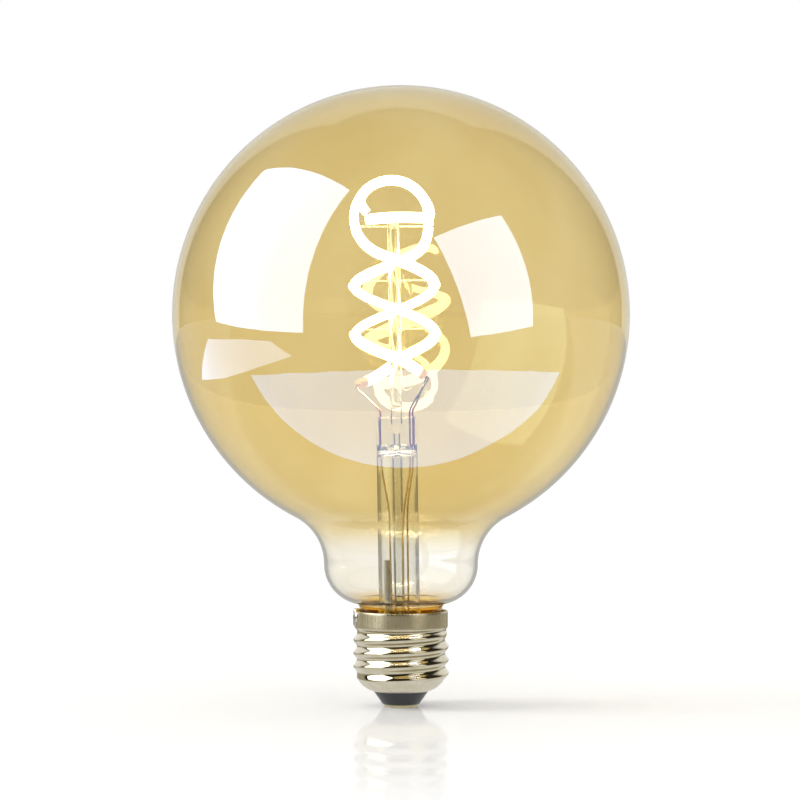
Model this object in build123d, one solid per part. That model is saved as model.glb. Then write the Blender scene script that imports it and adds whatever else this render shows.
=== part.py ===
from build123d import *
import math
import os

# Smart filament lamp: an amber globe envelope on an E27 screw cap. A glass stem stands in the neck and
# carries two flexible LED ribbons wound into a double spiral. The driver and its radio sit inside the cap.
# Frame: Z is the lamp's axis, pointing from the cap to the crown of the globe. The origin is the middle of
# the centre contact's face, the datum of a screw cap. -Y is the lamp's front.
# Lengths are in millimetres and angles in degrees.

# ---- Envelope ----
GLOBE_RADIUS = 62.5
GLOBE_CENTRE_Z = 107.1
GLASS_WALL = 0.8
SHOULDER_RADIUS = 14.5
NECK_RADIUS = 21.1
BOWL_RADIUS = 11.0
COLLAR_RADIUS = 11.3
COLLAR_FILLET = 1.5
SEAL_Z = 19.5

# ---- E27 cap ----
THREAD_PITCH = 25.4 / 7
THREAD_CREST_RADIUS = 13.05
THREAD_ROOT_RADIUS = 12.05
THREAD_START_Z = 7.9
THREAD_START_ANGLE = 240.0
THREAD_TURNS = 10 / 3
RIDGE_HALF_WIDTH = 1.4
RIDGE_ROOTING = 0.15
SHEET = 0.3
SKIRT_RADIUS = 12.85
SKIRT_Z = 22.0
RIM_Z = 26.2
SHELL_FOOT_Z = 4.2
SHELL_BOWL_TOP_Z = 7.7
INSULATOR_RADIUS = 7.6
INSULATOR_TIP_RADIUS = 5.1
CONTACT_RADIUS = 4.8
CONTACT_THICKNESS = 0.6
CONTACT_PIN_RADIUS = 0.9
CONTACT_PIN_TOP_Z = 9.2

# ---- Stem: it leans a little to the left and stands a little off the axis, as a hand-set mount does ----
STEM_SHIFT = 0.3
STEM_LEAN = 0.9
STEM_RADIUS = 5.6
STEM_WALL = 0.9
STEM_DOME_Z = 69.5
FLARE_RADIUS = 10.9
FLARE_LAND = 0.8
FLARE_TOP_Z = 31.0
PINCH_TOP_Z = 79.3
PINCH_WIDTH = 11.4
PINCH_DEPTH = 3.8
EXHAUST_RADIUS = 1.55
EXHAUST_BORE = 0.9
EXHAUST_TIP_Z = 20.4
EXHAUST_PORT_Z = 75.6
EXHAUST_PORT_RADIUS = 1.2
PILLAR_RADIUS = 1.65
PILLAR_BORE = 1.05
PILLAR_FOOT_Z = 80.9
PILLAR_TOP_Z = 133.6
ANCHOR_RADIUS = 0.17
ANCHOR_REACH = 4.5

# ---- Filament ribbons ----
SPIRAL_RADIUS = 11.3
SPIRAL_PITCH = 26.6
SPIRAL_START_Z = 95.2
RIBBON_RADIUS = 1.05
LOOP_RADIUS = 10.7
LOOP_SHIFT = 0.5
LOOP_CENTRE_Z = 134.0
TAB_LENGTH = 1.6
TAB_WIDTH = 1.5
TAB_SPREAD = 0.6
TOP_HOOK_Z = 131.4
TAB_THICKNESS = 0.3
HOOK_WIRE_RADIUS = 0.18
HOOK_LOOP_RADIUS = 1.35

# ---- Lead wires ----
LEAD_RADIUS = 0.25
COMMON_LEAD_X = -4.4
WARM_LEAD_X = 3.6
COOL_LEAD_X = 4.4

# ---- Driver ----
SLEEVE_RADIUS = 11.55
SLEEVE_WALL = 0.5
SLEEVE_FOOT_Z = 9.4
SLEEVE_TOP_Z = 16.7
BOARD_RADIUS = 10.8
BOARD_Z = 15.0
BOARD_THICKNESS = 1.0
BOARD_TOP_Z = BOARD_Z + BOARD_THICKNESS
ANTENNA_RADIUS = 0.85
SIDE_WIRE_ANGLE = 195.0
SIDE_WIRE_RADIUS = 0.15

# The stem's own frame: it turns about the middle of its seal with the neck.
STEM = Pos(-STEM_SHIFT, 0, SEAL_Z) * Rot(0, -STEM_LEAN, 0) * Pos(0, 0, -SEAL_Z)


def polar(centre, radius, angle):
    """The point at an angle from the first axis, on a circle in the profile plane."""
    turn = math.radians(angle)
    return (centre[0] + radius * math.cos(turn), centre[1] + radius * math.sin(turn))


def arc(centre, radius, start, end):
    """An arc in the profile plane, from one angle to another."""
    middle = (start + end) / 2
    return ThreePointArc(*(polar(centre, radius, angle) for angle in (start, middle, end)))


def lathe(*outline):
    """Turns a closed outline of (radius, height) about the lamp's axis."""
    return revolve(Plane.XZ * make_face(outline), Axis.Z)


def rod(radius, bottom, top, x=0.0, y=0.0):
    """An upright cylinder between two heights."""
    return Pos(x, y, (bottom + top) / 2) * Cylinder(radius, top - bottom)


def block(length, width, bottom, top, x=0.0, y=0.0):
    """An upright box between two heights."""
    return Pos(x, y, (bottom + top) / 2) * Box(length, width, top - bottom)


def bent_path(points):
    """Straight runs through the points, joined by arcs as large as the runs beside them allow."""
    corners = [Vector(*point) for point in points]
    radii = []
    for before, corner, after in zip(corners, corners[1:], corners[2:]):
        run_in, run_out = corner - before, after - corner
        half_turn = math.radians(run_in.get_angle(run_out)) / 2
        radii.append(0.45 * min(run_in.length, run_out.length) / math.tan(half_turn))
    return FilletPolyline(*corners, radius=radii)


def wire(points, radius):
    """A round wire along a bent path, or along one straight run."""
    path = Line(*points) if len(points) == 2 else bent_path(points)
    return sweep(Plane(origin=path @ 0, z_dir=path % 0) * Circle(radius), path=path)


# ---------------------------------------------------------------- envelope


def envelope_edges(inset):
    """The envelope's profile from the crown to the collar, moved inwards from its outer face by inset."""
    globe_centre = (0, GLOBE_CENTRE_Z)
    shoulder_r = NECK_RADIUS + SHOULDER_RADIUS
    shoulder_drop = math.sqrt((GLOBE_RADIUS + SHOULDER_RADIUS) ** 2 - shoulder_r**2)
    waist_z = GLOBE_CENTRE_Z - shoulder_drop
    shoulder_centre = (shoulder_r, waist_z)
    bowl_centre = (NECK_RADIUS - BOWL_RADIUS, waist_z)
    fillet_r = COLLAR_RADIUS + COLLAR_FILLET
    fillet_drop = math.sqrt((BOWL_RADIUS + COLLAR_FILLET) ** 2 - (fillet_r - bowl_centre[0]) ** 2)
    fillet_centre = (fillet_r, waist_z - fillet_drop)
    globe_foot = -math.degrees(math.atan2(shoulder_drop, shoulder_r))
    bowl_foot = -math.degrees(math.atan2(fillet_drop, fillet_r - bowl_centre[0]))
    globe = arc(globe_centre, GLOBE_RADIUS - inset, 90, globe_foot)
    shoulder = arc(shoulder_centre, SHOULDER_RADIUS + inset, globe_foot + 180, 180)
    bowl = arc(bowl_centre, BOWL_RADIUS - inset, 0, bowl_foot)
    fillet = arc(fillet_centre, COLLAR_FILLET + inset, bowl_foot + 180, 180)
    collar = Line(fillet @ 1, (COLLAR_RADIUS - inset, SEAL_Z - 1))
    return [globe, shoulder, bowl, fillet, collar]


def globe_glass():
    """The blown envelope, one wall thick all over. Its collar is cut square to the leaning stem."""
    outer, inner = envelope_edges(0), envelope_edges(GLASS_WALL)
    crown = Line(inner[0] @ 0, outer[0] @ 0)
    foot = Line(outer[-1] @ 1, inner[-1] @ 1)
    below_seal = STEM * block(40, 40, SEAL_Z - 10, SEAL_Z)
    return lathe(*outer, *inner, crown, foot) - below_seal


# ---------------------------------------------------------------- cap


def thread_ridge():
    """The rolled thread: one rounded ridge wound up the shell, with the E27 pitch."""
    helix = Helix(THREAD_PITCH, THREAD_PITCH * THREAD_TURNS, THREAD_ROOT_RADIUS)
    turned = Pos(0, 0, THREAD_START_Z) * Rot(0, 0, THREAD_START_ANGLE) * helix
    height = THREAD_CREST_RADIUS - THREAD_ROOT_RADIUS
    base_low, base_high = (-RIDGE_ROOTING, -RIDGE_HALF_WIDTH), (-RIDGE_ROOTING, RIDGE_HALF_WIDTH)
    ridge = make_face([Line(base_high, base_low), ThreePointArc(base_low, (height, 0), base_high)])
    outwards = Vector(1, 0, 0).rotate(Axis.Z, THREAD_START_ANGLE)
    start = Plane(origin=turned @ 0, x_dir=outwards, z_dir=Vector(0, 0, -1).cross(outwards))
    return sweep(start * ridge, path=turned, is_frenet=True)


def cap_shell():
    """The nickel-plated shell: a bowl at its foot, the thread, and a plain skirt up to the rim."""
    foot_outer, foot_inner = (INSULATOR_RADIUS, SHELL_FOOT_Z), (INSULATOR_RADIUS, SHELL_FOOT_Z + SHEET)
    root_inner, skirt_inner = THREAD_ROOT_RADIUS - SHEET, SKIRT_RADIUS - SHEET
    bowl_top = SHELL_BOWL_TOP_Z
    outer = [
        ThreePointArc(foot_outer, (10.35, 5.3), (THREAD_ROOT_RADIUS, bowl_top)),
        Line((THREAD_ROOT_RADIUS, bowl_top), (THREAD_ROOT_RADIUS, SKIRT_Z)),
        Line((THREAD_ROOT_RADIUS, SKIRT_Z), (SKIRT_RADIUS, SKIRT_Z + 0.5)),
        Line((SKIRT_RADIUS, SKIRT_Z + 0.5), (SKIRT_RADIUS, RIM_Z)),
    ]
    inner = [
        Line((skirt_inner, RIM_Z), (skirt_inner, SKIRT_Z + 0.7)),
        Line((skirt_inner, SKIRT_Z + 0.7), (root_inner, SKIRT_Z + 0.2)),
        Line((root_inner, SKIRT_Z + 0.2), (root_inner, bowl_top)),
        ThreePointArc((root_inner, bowl_top), (10.15, 5.55), foot_inner),
    ]
    rim = Line((SKIRT_RADIUS, RIM_Z), (skirt_inner, RIM_Z))
    foot = Line(foot_inner, foot_outer)
    return lathe(*outer, rim, *inner, foot) + thread_ridge()


def cap_insulator():
    """Black glass: a cone below the shell, and a flange that locks it inside the shell's foot."""
    seat = SHELL_FOOT_Z + SHEET
    outline = Polyline(
        (2.0, CONTACT_THICKNESS),
        (INSULATOR_TIP_RADIUS, CONTACT_THICKNESS),
        (INSULATOR_TIP_RADIUS + 0.35, CONTACT_THICKNESS + 0.3),
        (INSULATOR_RADIUS, SHELL_FOOT_Z - 0.1),
        (INSULATOR_RADIUS, seat),
        (INSULATOR_RADIUS + 0.5, seat + 0.35),
        (INSULATOR_RADIUS + 0.5, seat + 1.9),
        (4.6, seat + 2.3),
        (4.2, seat + 1.3),
        (2.0, seat + 1.1),
        close=True,
    )
    return lathe(*outline.edges())


def centre_contact():
    """The brass contact plate with its hub, bored for the contact pin."""
    hub_top = SHELL_FOOT_Z + SHEET + 1.1
    outline = [
        Line((CONTACT_PIN_RADIUS, 0), (CONTACT_RADIUS - 0.3, 0)),
        arc((CONTACT_RADIUS - 0.3, 0.3), 0.3, -90, 0),
        Line((CONTACT_RADIUS, 0.3), (CONTACT_RADIUS, CONTACT_THICKNESS)),
        Line((CONTACT_RADIUS, CONTACT_THICKNESS), (2.0, CONTACT_THICKNESS)),
        Line((2.0, CONTACT_THICKNESS), (2.0, hub_top)),
        Line((2.0, hub_top), (CONTACT_PIN_RADIUS, hub_top)),
        Line((CONTACT_PIN_RADIUS, hub_top), (CONTACT_PIN_RADIUS, 0)),
    ]
    return lathe(*outline)


def contact_pin():
    """The nail pressed up through the contact, which the centre wire is clamped by."""
    return rod(CONTACT_PIN_RADIUS, 0.15, CONTACT_PIN_TOP_Z)


def side_wire_place():
    """The turn that carries a piece from +X round to the side wire."""
    return Rot(0, 0, SIDE_WIRE_ANGLE)


def cap_cement():
    """The cement that holds the collar in the skirt, with a channel for the side wire."""
    gap = 0.02
    root_inner, skirt_inner = THREAD_ROOT_RADIUS - SHEET - gap, SKIRT_RADIUS - SHEET - gap
    bore = COLLAR_RADIUS + gap
    outline = Polyline(
        (bore, SEAL_Z + 0.5),
        (root_inner, SEAL_Z + 0.5),
        (root_inner, SKIRT_Z + 0.25),
        (skirt_inner, SKIRT_Z + 0.75),
        (skirt_inner, RIM_Z - 0.9),
        (bore, RIM_Z - 0.9),
        close=True,
    )
    channel = side_wire_place() * block(2.0, 0.8, SEAL_Z, RIM_Z, x=COLLAR_RADIUS + 0.6)
    return lathe(*outline.edges()) - channel


def side_wire():
    """The neutral wire: up from the board, past the collar and over the rim to its solder."""
    inside, outside = COLLAR_RADIUS + 0.25, SKIRT_RADIUS + SIDE_WIRE_RADIUS + 0.02
    points = [
        (10.2, 0, BOARD_TOP_Z + 0.02),
        (10.25, 0, SLEEVE_TOP_Z + 0.4),
        (inside, 0, SEAL_Z - 1.1),
        (inside + 0.02, 0, RIM_Z - 1.4),
        (SKIRT_RADIUS - 0.65, 0, RIM_Z + 0.1),
        (outside - 0.05, 0, RIM_Z + 0.75),
        (outside, 0, RIM_Z - 2.2),
    ]
    return side_wire_place() * wire(points, SIDE_WIRE_RADIUS)


def side_solder():
    """The solder dab on the skirt, moulded round the end of the side wire."""
    dab = Pos(SKIRT_RADIUS, 0, RIM_Z - 1.9) * scale(Sphere(1.0), by=(0.75, 1.45, 2.0))
    tail = Pos(SKIRT_RADIUS + 0.1, 0, RIM_Z + 0.15) * scale(Sphere(1.0), by=(0.6, 0.9, 0.8))
    skirt = rod(SKIRT_RADIUS + 0.005, 0, RIM_Z + 0.01)
    envelope = rod(SKIRT_RADIUS - 0.2, 0, RIM_Z + 3)
    return side_wire_place() * (dab + tail - skirt - envelope) - side_wire()


# ---------------------------------------------------------------- stem


def pinch_block():
    """The flat press at the head of the stem, waisted where it runs into the tube."""
    waist_z = STEM_DOME_Z + 1.6
    press = block(PINCH_WIDTH, PINCH_DEPTH, waist_z + 0.5, PINCH_TOP_Z)
    press = fillet(press.edges().filter_by(Axis.Z), 1.7)
    press = fillet(press.faces().sort_by(Axis.Z)[-1].edges(), 0.9)
    waist = loft(
        [
            Plane.XY.offset(STEM_DOME_Z) * Ellipse(STEM_RADIUS - 0.1, STEM_RADIUS - 0.4),
            Plane.XY.offset(waist_z + 0.8) * Ellipse(PINCH_WIDTH / 2 - 0.1, PINCH_DEPTH / 2 - 0.2),
        ]
    )
    return press + waist


def stem_tube():
    """The flared stem: a trumpet foot sealed to the collar, a straight tube and a flat press on top."""
    bore = STEM_RADIUS - STEM_WALL
    lip = SEAL_Z - 0.8
    throat_z = SEAL_Z + 0.42 * (FLARE_TOP_Z - SEAL_Z)
    shoulder = 0.7
    land = FLARE_RADIUS - FLARE_LAND
    outline = [
        Line((FLARE_RADIUS, lip), (FLARE_RADIUS, SEAL_Z)),
        Line((FLARE_RADIUS, SEAL_Z), (land, SEAL_Z)),
        ThreePointArc((land, SEAL_Z), (STEM_RADIUS + 1.1, throat_z), (STEM_RADIUS, FLARE_TOP_Z)),
        Line((STEM_RADIUS, FLARE_TOP_Z), (STEM_RADIUS, STEM_DOME_Z)),
        arc((STEM_RADIUS - shoulder, STEM_DOME_Z), shoulder, 0, 90),
        Line((STEM_RADIUS - shoulder, STEM_DOME_Z + shoulder), (0, STEM_DOME_Z + shoulder)),
        Line((0, STEM_DOME_Z + shoulder), (0, STEM_DOME_Z)),
        Line((0, STEM_DOME_Z), (bore - 1.6, STEM_DOME_Z)),
        arc((bore - 1.6, STEM_DOME_Z - 1.6), 1.6, 90, 0),
        Line((bore, STEM_DOME_Z - 1.6), (bore, FLARE_TOP_Z)),
        ThreePointArc((bore, FLARE_TOP_Z), (STEM_RADIUS + 0.4, throat_z - 0.7), (land - 0.6, lip)),
        Line((land - 0.6, lip), (FLARE_RADIUS, lip)),
    ]
    port = Pos(0, 0, EXHAUST_PORT_Z) * Rot(90, 0, 0) * Cylinder(EXHAUST_PORT_RADIUS, PINCH_DEPTH + 2)
    channel = rod(EXHAUST_BORE, STEM_DOME_Z - 1, EXHAUST_PORT_Z)
    stem = lathe(*outline) + pinch_block() - port - channel - anchor_wires()
    for x in (COMMON_LEAD_X, WARM_LEAD_X, COOL_LEAD_X):
        stem -= rod(LEAD_RADIUS, STEM_DOME_Z - 1.5, PINCH_TOP_Z + 1, x=x)
    return STEM * stem


def exhaust_tube():
    """The tube the lamp was pumped and filled through, open to the port and tipped off at its foot."""
    tube = rod(EXHAUST_RADIUS, EXHAUST_TIP_Z + 1.2, STEM_DOME_Z)
    tip = Pos(0, 0, EXHAUST_TIP_Z + 1.2) * Sphere(EXHAUST_RADIUS)
    return STEM * (tube + tip - rod(EXHAUST_BORE, EXHAUST_TIP_Z + 2.2, STEM_DOME_Z))


def anchor_wires():
    """The two short wires that hold the pillar over the press, sealed into both."""
    reach = (PILLAR_RADIUS + PILLAR_BORE) / 2
    foot, top = PINCH_TOP_Z - 2, PILLAR_FOOT_Z + ANCHOR_REACH
    return rod(ANCHOR_RADIUS, foot, top, x=-reach) + rod(ANCHOR_RADIUS, foot, top, x=reach)


def pillar_anchors():
    """Both anchor wires in their place."""
    return STEM * anchor_wires()


def support_pillar():
    """The slim glass pillar over the press: a tube, rounded and closed at both ends."""
    foot, neck = PILLAR_FOOT_Z + PILLAR_RADIUS, PILLAR_TOP_Z - PILLAR_RADIUS
    pillar = rod(PILLAR_RADIUS, foot, neck)
    for end in (foot, neck):
        pillar += Pos(0, 0, end) * Sphere(PILLAR_RADIUS)
    return STEM * (pillar - rod(PILLAR_BORE, foot, neck) - anchor_wires())


# ---------------------------------------------------------------- ribbons


def spiral_point(turn, side):
    """A point on a ribbon's spiral. Turn is in degrees; side is 1 for the left foot and -1 for the right."""
    angle = math.radians(turn)
    height = SPIRAL_START_Z + SPIRAL_PITCH * turn / 360
    return (side * SPIRAL_RADIUS * math.sin(angle), side * SPIRAL_RADIUS * math.cos(angle), height)


def loop_point(angle, depth):
    """A point on the upright loop over the spirals. The angle starts at the right and goes over the top."""
    x, z = polar((-LOOP_SHIFT, LOOP_CENTRE_Z), LOOP_RADIUS, angle)
    return (x, depth, z)


def left_ribbon_points():
    """From the left foot up the spiral, over the loop from right to left, and in at the left."""
    foot = [(-10.4, 4.2, 88.2), (-6.9, 8.7, 89.5), (-2.4, 11.0, 92.4)]
    spiral = [spiral_point(turn, 1) for turn in range(15, 361, 30)]
    rise = [(5.0, 10.1, 123.5), (8.6, 6.6, 126.3)]
    loop = [loop_point(angle, 3.0) for angle in (-17, 18, 52, 86, 118)]
    tail = [(-8.9, 2.5, 140.2), (-9.0, 1.9, 137.4), (-7.3, 1.5, 135.5)]
    return foot + spiral + rise + loop + tail


def right_ribbon_points():
    """From the right foot up the spiral, over the loop from left to right, and across the front."""
    foot = [(7.7, -8.4, 90.4), (5.0, -10.1, 92.7)]
    spiral = [spiral_point(turn, -1) for turn in range(-5, 361, 30)]
    rise = [(-4.4, -10.5, 123.4), (-8.0, -7.2, 126.0)]
    loop = [loop_point(angle, -0.5) for angle in (165, 128, 92, 56, 20)]
    corner = [(10.3, -3.3, 133.4), (7.6, -7.2, 133.1)]
    bar = [(2.4, -9.3, 133.2), (-3.0, -9.2, 133.1), (-7.2, -7.4, 132.8)]
    return foot + spiral + rise + [(-10.7, -3.2, 130.6)] + loop + corner + bar


def ribbon(points):
    """One phosphor-coated ribbon, drawn as a round cord."""
    return STEM * wire(points, RIBBON_RADIUS)


def end_plane(point, neighbour):
    """A plane on a ribbon's end, its normal pointing out of the ribbon."""
    outwards = Vector(*point) - Vector(*neighbour)
    return Plane(origin=point, x_dir=Vector(0, 0, 1).cross(outwards), z_dir=outwards)


def end_tab(point, neighbour, offset=0.0, width=TAB_WIDTH):
    """A flat metal tab that stands out of a ribbon's end."""
    tab = Pos(offset, 0, TAB_LENGTH / 2) * Box(width, TAB_THICKNESS, TAB_LENGTH)
    return end_plane(point, neighbour) * tab


def foot_tab(points, offset=0.0, width=TAB_WIDTH):
    """A tab at the lower end of a ribbon."""
    return STEM * end_tab(points[0], points[1], offset, width)


def top_joint():
    """The clip that joins the two ribbons' upper ends: a tab on each end and a bridge between them."""
    ends = [(points[-1], points[-2]) for points in (left_ribbon_points(), right_ribbon_points())]
    tips = [end_plane(*end) * Pos(0, 0, 0.9) for end in ends]
    tabs = [end_plane(*end) * Pos(0, 0, 0.6) * Box(TAB_WIDTH, TAB_THICKNESS, 1.2) for end in ends]
    bridge = wire([tuple(tip.position) for tip in tips], 0.14)
    return STEM * (tabs[0] + tabs[1] + bridge)


def hook_wire(centre, lift):
    """A support wire: out from the pillar, past a ribbon's centre by the lift, and round its outer side."""
    x, y, z = centre
    side = math.copysign(1, x)
    beside = Vector(*centre) + lift
    start = Vector(side * PILLAR_RADIUS, 0, beside.Z)
    outer = Vector(x + side * HOOK_LOOP_RADIUS, y, z)
    if abs(beside.Y) > 0.1:
        stretch = Polyline(start, beside - Vector(side * HOOK_LOOP_RADIUS, 0, 0), beside)
    else:
        stretch = Line(start, beside)
    hook = ThreePointArc(beside, outer, beside - lift * 2)
    section = Plane(origin=start, z_dir=stretch % 0) * Circle(HOOK_WIRE_RADIUS)
    return STEM * sweep(section, path=stretch + hook, transition=Transition.ROUND)


def ribbon_at(points, height, side):
    """Where a ribbon passes a height on one side of the pillar, above the middle of the spirals."""
    path = bent_path(points)
    places = [path @ (step / 2000) for step in range(2001)]
    near = [place for place in places if place.X * side > 5 and abs(place.Z - height) < 3]
    return tuple(min(near, key=lambda place: abs(place.Z - height)))


# ---------------------------------------------------------------- leads


def inner_lead(seal_x, knee, end):
    """A nickel wire from the press up to a ribbon's foot tab."""
    start = (seal_x, 0, PINCH_TOP_Z)
    rise = (seal_x, 0, PINCH_TOP_Z + 1.6)
    return STEM * wire([start, rise, knee, end], LEAD_RADIUS)


def dumet_seal(seal_x):
    """The wire sealed in the press, whose expansion matches the glass."""
    return STEM * rod(LEAD_RADIUS, STEM_DOME_Z, PINCH_TOP_Z, x=seal_x)


def outer_lead(seal_x, waist, foot):
    """A copper wire from the press down the stem's bore to the board."""
    start = (seal_x, 0, STEM_DOME_Z)
    drop = (seal_x, 0, STEM_DOME_Z - 4)
    return STEM * wire([start, drop, waist, foot], LEAD_RADIUS)


# ---------------------------------------------------------------- driver


def insulating_sleeve():
    """A plastic sleeve between the board and the live shell."""
    bore = SLEEVE_RADIUS - SLEEVE_WALL
    sleeve = rod(SLEEVE_RADIUS, SLEEVE_FOOT_Z, SLEEVE_TOP_Z) - rod(bore, SLEEVE_FOOT_Z - 1, SLEEVE_TOP_Z + 1)
    ledge = rod(bore + 0.1, BOARD_Z - 1.2, BOARD_Z) - rod(bore - 0.8, BOARD_Z - 2, BOARD_Z + 1)
    return sleeve + ledge


def driver_board():
    """The round circuit board, with a notch for the side wire."""
    notch = side_wire_place() * block(0.9, 0.9, BOARD_Z - 1, BOARD_TOP_Z + 1, x=BOARD_RADIUS + 0.2)
    return rod(BOARD_RADIUS, BOARD_Z, BOARD_TOP_Z) - notch


def bulk_capacitor():
    """The electrolytic capacitor, lying under the board."""
    can = Pos(0, -5.9, BOARD_Z - 3.1) * Rot(0, 90, 0) * Cylinder(3.05, 10.4)
    return fillet(can.edges(), 0.4)


def power_inductor():
    """A drum core with its winding, as one turned solid."""
    core = rod(3.0, 9.7, 10.5) + rod(2.5, 10.5, 14.2) + rod(3.0, 14.2, BOARD_Z)
    return Pos(5.6, 3.2, 0) * core


def film_capacitor():
    """The boxed film capacitor across the supply."""
    return Pos(-4.9, 4.4, 0) * fillet(block(7.0, 3.4, 9.9, BOARD_Z).edges().filter_by(Axis.Z), 0.4)


def bridge_rectifier():
    """The moulded rectifier under the board."""
    return chamfer(block(4.6, 3.6, BOARD_Z - 2.4, BOARD_Z, x=-0.4, y=7.9).edges().group_by(Axis.Z)[0], 0.3)


def fusible_resistor():
    """The wire-wound resistor that protects the supply, lying between the pin and the board."""
    body = Pos(-4.8, 0.4, 12.3) * Rot(0, 90, 0) * Cylinder(1.3, 6.4)
    return fillet(body.edges(), 0.5)


def centre_wire():
    """The supply wire from the contact pin to the resistor."""
    points = [(0, 0, CONTACT_PIN_TOP_Z), (0, 0.05, 11.2), (-0.6, 0.35, 12.2), (-1.6, 0.4, 12.3)]
    return wire(points, 0.25)


def driver_chip():
    """The lamp's constant-current driver, an eight-pin package on top of the board."""
    x, y = -2.0, -7.2
    package = block(4.9, 3.9, BOARD_TOP_Z + 0.15, BOARD_TOP_Z + 1.5, x=x, y=y)
    package = chamfer(package.edges().group_by(Axis.Z)[-1], 0.2)
    for row in (-1, 1):
        for step in range(4):
            place = {"x": x + (step - 1.5) * 1.2, "y": y + row * 2.3}
            package += block(0.4, 1.1, BOARD_TOP_Z, BOARD_TOP_Z + 0.3, **place)
    return package


def radio_board():
    """The radio module's own small board, flat on the driver board."""
    return block(9.6, 8.0, BOARD_TOP_Z, BOARD_TOP_Z + 0.8, x=0.6, y=0.6)


def radio_shield():
    """The tin can over the radio chip."""
    base = BOARD_TOP_Z + 0.8
    can = fillet(block(6.4, 5.6, base, base + 1.3, x=2.0, y=0.6).edges().filter_by(Axis.Z), 0.4)
    return can - block(6.0, 5.2, base - 1, base + 1.1, x=2.0, y=0.6)


def antenna_wire():
    """The quarter-wave antenna: a white insulated wire standing in the stem's bore."""
    points = [
        (-3.3, 0.9, BOARD_TOP_Z + 0.85),
        (-3.7, 0.8, 22.0),
        (-3.7, 0.9, 31.0),
        (-3.9, 0.8, 40.0),
    ]
    return wire(points, ANTENNA_RADIUS)


def main():
    """Builds every piece and writes one file for each."""
    left, right = left_ribbon_points(), right_ribbon_points()
    left_tab, right_tab = end_plane(left[0], left[1]), end_plane(right[0], right[1])
    tip = TAB_LENGTH - 0.3
    under = -(TAB_THICKNESS / 2 + LEAD_RADIUS + 0.05)
    common_end = tuple((left_tab * Pos(0, under, tip)).position)
    warm_end = tuple((right_tab * Pos(-TAB_SPREAD, under, tip)).position)
    cool_end = tuple((right_tab * Pos(TAB_SPREAD, under, tip)).position)
    low, high = (SPIRAL_START_Z + SPIRAL_PITCH * share for share in (0.25, 0.75))
    top_left = ribbon_at(right, TOP_HOOK_Z, -1)
    top_right = ribbon_at(left, TOP_HOOK_Z, 1)
    above, behind = Vector(0, 0, HOOK_LOOP_RADIUS), Vector(0, HOOK_LOOP_RADIUS, 0)
    pieces = {
        "globe_glass": globe_glass(),
        "cap_shell": cap_shell(),
        "cap_insulator": cap_insulator(),
        "centre_contact": centre_contact(),
        "contact_pin": contact_pin(),
        "cap_cement": cap_cement(),
        "side_wire": side_wire(),
        "side_solder": side_solder(),
        "stem_tube": stem_tube(),
        "exhaust_tube": exhaust_tube(),
        "support_pillar": support_pillar(),
        "ribbon_left": ribbon(left),
        "ribbon_right": ribbon(right),
        "foot_tab_common": foot_tab(left),
        "foot_tab_warm": foot_tab(right, offset=-TAB_SPREAD, width=0.8),
        "foot_tab_cool": foot_tab(right, offset=TAB_SPREAD, width=0.8),
        "top_joint": top_joint(),
        "pillar_anchors": pillar_anchors(),
        "hook_wire_low_left": hook_wire((-SPIRAL_RADIUS, 0, low), above),
        "hook_wire_low_right": hook_wire((SPIRAL_RADIUS, 0, low), above),
        "hook_wire_mid_left": hook_wire((-SPIRAL_RADIUS, 0, high), above),
        "hook_wire_mid_right": hook_wire((SPIRAL_RADIUS, 0, high), above),
        "hook_wire_top_left": hook_wire(top_left, behind),
        "hook_wire_top_right": hook_wire(top_right, behind * -1),
        "inner_lead_common": inner_lead(COMMON_LEAD_X, (-5.6, 0.6, 82.2), common_end),
        "inner_lead_warm": inner_lead(WARM_LEAD_X, (4.3, -1.2, 82.4), warm_end),
        "inner_lead_cool": inner_lead(COOL_LEAD_X, (5.3, -1.0, 82.4), cool_end),
        "dumet_seal_common": dumet_seal(COMMON_LEAD_X),
        "dumet_seal_warm": dumet_seal(WARM_LEAD_X),
        "dumet_seal_cool": dumet_seal(COOL_LEAD_X),
        "outer_lead_common": outer_lead(COMMON_LEAD_X, (-2.3, -1.6, 54.0), (-2.0, -2.2, 18.9)),
        "outer_lead_warm": outer_lead(WARM_LEAD_X, (1.2, -2.2, 52.0), (1.0, -2.6, 18.9)),
        "outer_lead_cool": outer_lead(COOL_LEAD_X, (2.5, -1.6, 56.0), (2.4, -1.8, 18.9)),
        "insulating_sleeve": insulating_sleeve(),
        "driver_board": driver_board(),
        "bulk_capacitor": bulk_capacitor(),
        "power_inductor": power_inductor(),
        "film_capacitor": film_capacitor(),
        "bridge_rectifier": bridge_rectifier(),
        "fusible_resistor": fusible_resistor(),
        "centre_wire": centre_wire(),
        "driver_chip": driver_chip(),
        "radio_board": radio_board(),
        "radio_shield": radio_shield(),
        "antenna_wire": antenna_wire(),
    }
    os.makedirs("parts", exist_ok=True)
    for name, piece in pieces.items():
        export_step(piece, f"parts/{name}.step")


main()
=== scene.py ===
"""A smart filament lamp: an amber glass globe on a screw cap, with two lit ribbons on a glass stem.

Every length below is in millimetres unless it says otherwise. The mesh helpers turn them to metres.
"""
import logging
import math
from dataclasses import dataclass, field
from enum import Enum

import bpy
from mathutils import Matrix, Vector


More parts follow.
